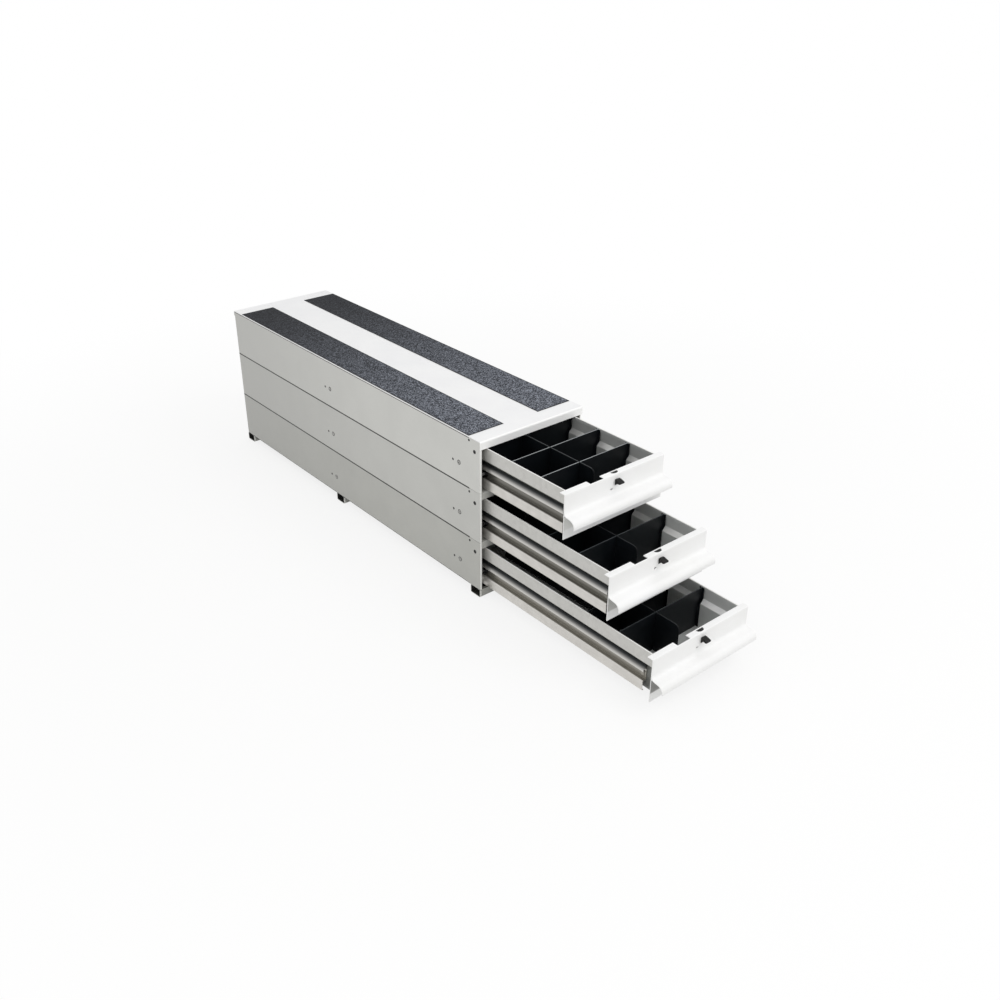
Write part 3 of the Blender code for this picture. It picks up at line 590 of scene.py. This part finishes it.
# Blackened steel: dark metal with a soft shine on the races, and dead black at the seals.
bearing_black = rolled_steel("blackened_bearing_steel", "#4A4B4E", "#2C2D2F", roughness=0.32,
                             marks=seals)
for number in (1, 2, 3):
    for kind in ("front", "rear"):
        for word in ("left", "right"):
            node_name = "%s_roller_%s_%d" % (kind, word, number)
            low, high = np.array(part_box(node_name), dtype=float)
            centre, half = (low + high) / 2, (high[0] - low[0]) / 2
            radius = (high[2] - low[2]) / 2
            seal, race = half - seal_sink, half - bore_chamfer
            face = [(bore, seal), (bore + bore_chamfer, race), (inner_race, race),
                    (inner_race, seal), (radius - race_width, seal), (radius - race_width, half),
                    (radius - race_round, half),
                    (radius - race_round * corner_share, half - race_round * corner_share),
                    (radius, half - race_round)]
            loop = face + [(far, -along) for far, along in reversed(face)]
            made = turned(node_name + "_sealed", loop, [(*centre, 1)], bearing_black,
                          nodes[node_name]["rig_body"], steps=48,
                          closed_loop=True)
            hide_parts(node_name)

# Trays: folded drawers of hot-dip galvanised sheet with a hemmed rim and a
# step in each side wall. The rim carries a painted highlight, the step's top is
# painted light, the inside walls are painted shade in the top drawer and light
# below, and the lower wall outside is painted shade.

# The bloom's patches are under 1 mm across. They are drawn coarser, so that they show.
spangle_size, bloom_size, bloom_height = 0.0120, 0.0030, 0.00004
spangle_share, spangle_low, zinc_roughness, zinc_metallic = 0.35, 0.35, 0.36, 0.35
zinc_gloss_fall, zinc_gloss_rise = 0.06, 0.08


def spangled_zinc(name, pale, dark, marks):
    """Hot-dip zinc: flat crystals of a few shades and glosses under a fine dull bloom.

    The bloom is oxide, which isn't metal, so the surface is only partly metallic.
    """
    made, tree, place = blank_material(name)
    crystal = add(tree, "ShaderNodeTexVoronoi", {"Scale": 1 / spangle_size}, {"Vector": place})
    shade = add(tree, "ShaderNodeSeparateColor", None, {"Color": crystal.outputs["Color"]})
    bloom = add(tree, "ShaderNodeTexNoise", {"Scale": 1 / bloom_size, "Detail": 3.0},
                {"Vector": place})
    both = add(tree, "ShaderNodeMath", {"operation": "MULTIPLY_ADD", 1: spangle_share},
               {0: shade.outputs[0], 2: bloom.outputs["Fac"]})
    spread = add(tree, "ShaderNodeMapRange", {"From Min": spangle_low, "From Max": 1.0},
                 {"Value": both.outputs[0]})
    tone = add(tree, "ShaderNodeMix", {"data_type": "RGBA", 6: linear(dark), 7: linear(pale)},
               {0: spread.outputs[0]})
    gloss = add(tree, "ShaderNodeMapRange", {"To Min": zinc_roughness - zinc_gloss_fall,
                                             "To Max": zinc_roughness + zinc_gloss_rise},
                {"Value": shade.outputs[1]})
    skin = add(tree, "ShaderNodeBump", {"Strength": 0.2, "Distance": bloom_height},
               {"Height": bloom.outputs["Fac"]})
    surface = add(tree, "ShaderNodeBsdfPrincipled", {"Metallic": zinc_metallic},
                  {"Base Color": marked(tree, place, tone.outputs[2], marks),
                   "Roughness": gloss.outputs[0], "Normal": skin.outputs[0]})
    add(tree, "ShaderNodeOutputMaterial", None, {"Surface": surface.outputs[0]})
    return made


rim_highlight, step_high, step_low, wall_low = 0.0007, 0.0340, 0.0445, 0.1100
wall_outside, wall_skin_in, wall_skin_out, band_inside = 0.1337, 0.0004, 0.0006, 0.1454
band_inside_blur, step_blur, wall_shade_blur, wall_shade_share = 0.0003, 0.0006, 0.0010, 0.9
# Painted shade inside the top drawer's walls, painted light inside the lower two.
inside_light_and_shade = {1: "#C4C6C4", 2: "#DCDEDC", 3: "#DCDEDC"}
# Painted light on the steps' up-facing tops, most in the lowest drawer.
step_light = {1: "#D2D2D0", 2: "#F4F4F2", 3: "#FFFFFF"}
for number in (1, 2, 3):
    rim = float(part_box("tray_%d" % number)[1][2])
    tray_light_and_shade = [(inside_light_and_shade[number], 1.0, [(2, rim - wall_low, rim - rim_highlight, crisp),
                                         (3, 0, band_inside, band_inside_blur)]),
            # Painted highlight along the rim.
            ("#F2F2F0", highlight_share, [(2, rim - rim_highlight, rim + rim_highlight, crisp)]),
            (step_light[number], 1.0, [(2, rim - step_low, rim - step_high, step_blur), ("up",)]),
            # Painted shade on the lower wall outside, under the band.
            ("#595A56", wall_shade_share,
             [(2, rim - wall_low, rim - step_low, wall_shade_blur),
              (3, wall_outside - wall_skin_in, wall_outside + wall_skin_out, crisp)])]
    # Galvanised sheet: a pale grey metal, dulled by oxide, with faint crystals.
    tray_zinc = spangled_zinc("galvanised_sheet_steel_%d" % number, "#CDCCC8", "#C1C0BC",
                              marks=tray_light_and_shade)
    soft_copy("tray_%d" % number, tray_zinc, "_galvanised")

# Drawer runners: one strip of galvanised steel rolled into a round-nosed rail,
# a channel for the roller and a lower band, and riveted to the tray. The
# channel and the top of the nose are painted shade, the channel paler in each
# lower drawer.
nose_top, nose_shade, nose_low = 0.0690, 0.0072, 0.0850
channel_low, channel_reach, channel_lap = 0.1090, 0.1433, 0.0010
nose_blur, nose_shade_blur, nose_shade_share = 0.0006, 0.0060, 0.97
channel_blur, channel_low_blur = 0.0008, 0.0010
# Painted shade in the roller channel, paler in each lower drawer.
channel_shades = {1: "#7C7A74", 2: "#83817A", 3: "#99968E"}
for number in (1, 2, 3):
    module_top = deck_top - (number - 1) * module_pitch
    nose_edge = module_top - nose_low
    runner_tone_and_shade = [("#CFCDC9", 1.0, [(2, nose_edge, module_top, nose_blur)]),
               (channel_shades[number], 1.0, [(3, 0, channel_reach, channel_blur),
                                            (2, module_top - channel_low, nose_edge + channel_lap,
                                             channel_low_blur)]),
               # Painted shade over the top of the nose, under the tray's band.
               ("#232629", nose_shade_share,
                [(2, module_top - nose_top - nose_shade, module_top, nose_shade_blur)])]
    # Rolled galvanised steel: a warm pale metal, brushed along its length by the rolls.
    runner_steel = rolled_steel("rolled_galvanised_steel_%d" % number, "#D9D6D1", "#CBC8C3",
                                roughness=0.28, metallic=0.7, marks=runner_tone_and_shade)
    for word in ("left", "right"):
        soft_copy("drawer_runner_%s_%d" % (word, number), runner_steel, "_rolled")

# Drawer fronts: a thick sheet with a top flange and a rolled pull lip along
# its whole width, powder painted white and riveted to the tray. Behind the lip
# the face is painted shade, darkest in the lowest drawer.
pocket_high, pocket_low, pocket_half_width, pull_reach = 0.0755, 0.1135, 0.1598, 0.0340
pocket_skin, pocket_blur, pocket_end_blur, pocket_shade_share = 0.0008, 0.0030, 0.0001, 0.95
pocket_shades = {1: "#E6E6E3", 2: "#C2C2BF", 3: "#7C7C79"}
for number in (1, 2, 3):
    module_top = deck_top - (number - 1) * module_pitch
    face = float(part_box("drawer_front_%d" % number)[0][1]) + pull_reach
    pocket_shade = (pocket_shades[number], pocket_shade_share,
              [(1, face - pocket_skin, face + pocket_skin),
               (2, module_top - pocket_low, module_top - pocket_high, pocket_blur),
               (3, 0, pocket_half_width, pocket_end_blur)])
    # White powder paint: a soft sheen that rolls over the lip without a hard highlight.
    front_coat = powder_coat("white_powder_coat_on_front_%d" % number, "#F6F6F6", "#F2F2F1",
                             roughness=0.44, specular=0.4, marks=[pocket_shade])
    soft_copy("drawer_front_%d" % number, front_coat, "_painted")

# Latches: a thumb knob, its neck and the bolt behind the front, moulded in one
# piece of black acetal. It slides up through the half-moon hole in the flange.
latch_edge = 0.0004
# Acetal: dense black plastic, dull on its pebbled faces and softly lit at the edges.
latch_black = moulded_plastic("black_acetal", "#1B1B1B", "#101010", roughness=0.44,
                              specular=0.22)
for number in (1, 2, 3):
    soft_copy("latch_slide_%d" % number, latch_black, "_moulded", latch_edge)

# Dividers: moulded black blades that are halved over each other and stand in
# the tray. Their top edges carry a painted highlight, brightest in the top drawer.
edge_highlight_width, divider_edge = 0.0010, 0.0005
edge_highlights = {"cross_divider_1": "#A6AAAC", "cross_divider_2": "#4A4F52",
             "cross_divider_3": "#3A3F42", "long_divider_1": "#3A3E40",
             "long_divider_2": "#303436", "long_divider_3": "#303436"}
for kind, rub in edge_highlights.items():
    blades = sorted(name for name in nodes if name.startswith(kind))
    blade_top = float(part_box(blades[0])[1][2])
    top_edge_highlight = (rub, highlight_share,
                 [(2, blade_top - edge_highlight_width, blade_top + edge_highlight_width, crisp), ("up",)])
    # Polypropylene: near black with a blue cast, satin on its flat faces.
    divider_black = moulded_plastic("black_polypropylene_" + kind, "#0D1115", "#07090C",
                                    roughness=0.42, specular=0.2, marks=[top_edge_highlight])
    for name in blades:
        soft_copy(name, divider_black, "_moulded", divider_edge)

# Camera: at the photograph's place and angle, with a plain lens that isn't
# shifted. Angles are azimuth from -Y toward +X, elevation and roll.
camera_place = (-1.5775, -2.05055, 1.5224)
camera_azimuth, camera_elevation = math.radians(-40.193), math.radians(28.875)
camera_roll, camera_lens, sensor_width = math.radians(0.423), 38.052, 36


def camera_turn(azimuth, elevation, roll):
    """Rotation whose columns are right, up and back, turned by roll about back."""
    back = np.array((math.sin(azimuth) * math.cos(elevation),
                     -math.cos(azimuth) * math.cos(elevation), math.sin(elevation)))
    level = np.cross((0, 0, 1), back)
    level /= np.linalg.norm(level)
    upright = np.cross(back, level)
    right = level * math.cos(roll) + upright * math.sin(roll)
    up = upright * math.cos(roll) - level * math.sin(roll)
    return np.stack((right, up, back), axis=1)


camera_data = bpy.data.cameras.new("camera")
camera_data.lens = camera_lens
camera_data.sensor_width = sensor_width
camera = bpy.data.objects.new("camera", camera_data)
turn = np.eye(4)
turn[:3, :3] = camera_turn(camera_azimuth, camera_elevation, camera_roll)
turn[:3, 3] = camera_place
camera.matrix_world = Matrix(turn.tolist())
bpy.context.scene.collection.objects.link(camera)
bpy.context.scene.camera = camera
bpy.context.scene.view_settings.view_transform = "Standard"

# Floor: plain and pale. It is white where it is looked at, apart from the
# object's shadow, which fades out with distance, and it lights the object as a
# pale grey floor does.
floor_size, shadow_share, shadow_near, shadow_far = 60.0, 0.2, 0.9, 2.4
lit_floor_shade, shadow_floor_shade = "#DEDEDC", "#F8F8F7"
floor_mesh = bpy.data.meshes.new("floor")
floor_mesh.from_pydata([(-floor_size, -floor_size, 0), (floor_size, -floor_size, 0),
                        (floor_size, floor_size, 0), (-floor_size, floor_size, 0)],
                       [], [(0, 1, 2, 3)])
floor = bpy.data.objects.new("floor", floor_mesh)
bpy.context.scene.collection.objects.link(floor)


def studio_white(tree, lit, white):
    """White where the camera, a glossy ray or a clear one looks, and lit elsewhere."""
    ray = add(tree, "ShaderNodeLightPath")
    seen = add(tree, "ShaderNodeMath", {"operation": "MAXIMUM"},
               {0: ray.outputs["Is Camera Ray"], 1: ray.outputs["Is Glossy Ray"]})
    clear = add(tree, "ShaderNodeMath", {"operation": "MAXIMUM"},
                {0: seen.outputs[0], 1: ray.outputs["Is Transmission Ray"]})
    return add(tree, "ShaderNodeMixShader", None, {0: clear.outputs[0], 1: lit, 2: white})


floor_material, tree, floor_spot = blank_material("pale_floor")
lit_floor = add(tree, "ShaderNodeBsdfDiffuse", {"Color": linear(lit_floor_shade)})
shadow_floor = add(tree, "ShaderNodeBsdfDiffuse", {"Color": linear(shadow_floor_shade)})
white_floor = add(tree, "ShaderNodeEmission", {"Color": (1, 1, 1, 1), "Strength": 1.0})
floor_reach = add(tree, "ShaderNodeVectorMath", {"operation": "LENGTH"}, {0: floor_spot})
shadow = add(tree, "ShaderNodeMapRange",
             {"interpolation_type": "SMOOTHSTEP", "From Min": shadow_near,
              "From Max": shadow_far, "To Min": shadow_share, "To Max": 0.0},
             {"Value": floor_reach.outputs["Value"]})
pale_floor = add(tree, "ShaderNodeMixShader", None,
                 {0: shadow.outputs[0], 1: white_floor.outputs[0], 2: shadow_floor.outputs[0]})
floor_end = studio_white(tree, lit_floor.outputs[0], pale_floor.outputs[0])
add(tree, "ShaderNodeOutputMaterial", None, {"Surface": floor_end.outputs[0]})
floor_mesh.materials.append(floor_material)

# Light: a white surround for most of it, one large soft lamp over the right
# shoulder and a weaker one on the left. Both lamps are weak enough that the
# white paint doesn't clip.
surround_strength = 0.79
lamp_size, lamp_target = 2.4, (0.0, 0.0, 0.25)
key_place, key_power = (1.2, -2.9, 3.5), 44
left_place, left_power = (-3.0, -2.0, 2.2), 14
world = bpy.data.worlds.new("surround")
bpy.context.scene.world = world
world.use_nodes = True
tree = world.node_tree
tree.nodes.clear()
dim = add(tree, "ShaderNodeBackground", {"Color": (1, 1, 1, 1), "Strength": surround_strength})
bright = add(tree, "ShaderNodeBackground", {"Color": (1, 1, 1, 1), "Strength": 1.0})
surround = studio_white(tree, dim.outputs[0], bright.outputs[0])
add(tree, "ShaderNodeOutputWorld", None, {"Surface": surround.outputs[0]})


def soft_light(name, place, power):
    """A square area lamp at place with its back turned away from the target."""
    data = bpy.data.lights.new(name, "AREA")
    data.shape = "SQUARE"
    data.size = lamp_size
    data.energy = power
    lamp = bpy.data.objects.new(name, data)
    back = np.array(place) - np.array(lamp_target)
    back = back / np.linalg.norm(back)
    side = np.cross((0, 0, 1), back)
    side /= np.linalg.norm(side)
    turned_to = np.eye(4)
    turned_to[:3, :3] = np.stack((side, np.cross(back, side), back), axis=1)
    turned_to[:3, 3] = place
    lamp.matrix_world = Matrix(turned_to.tolist())
    bpy.context.scene.collection.objects.link(lamp)


soft_light("key_light", key_place, key_power)
soft_light("left_light", left_place, left_power)
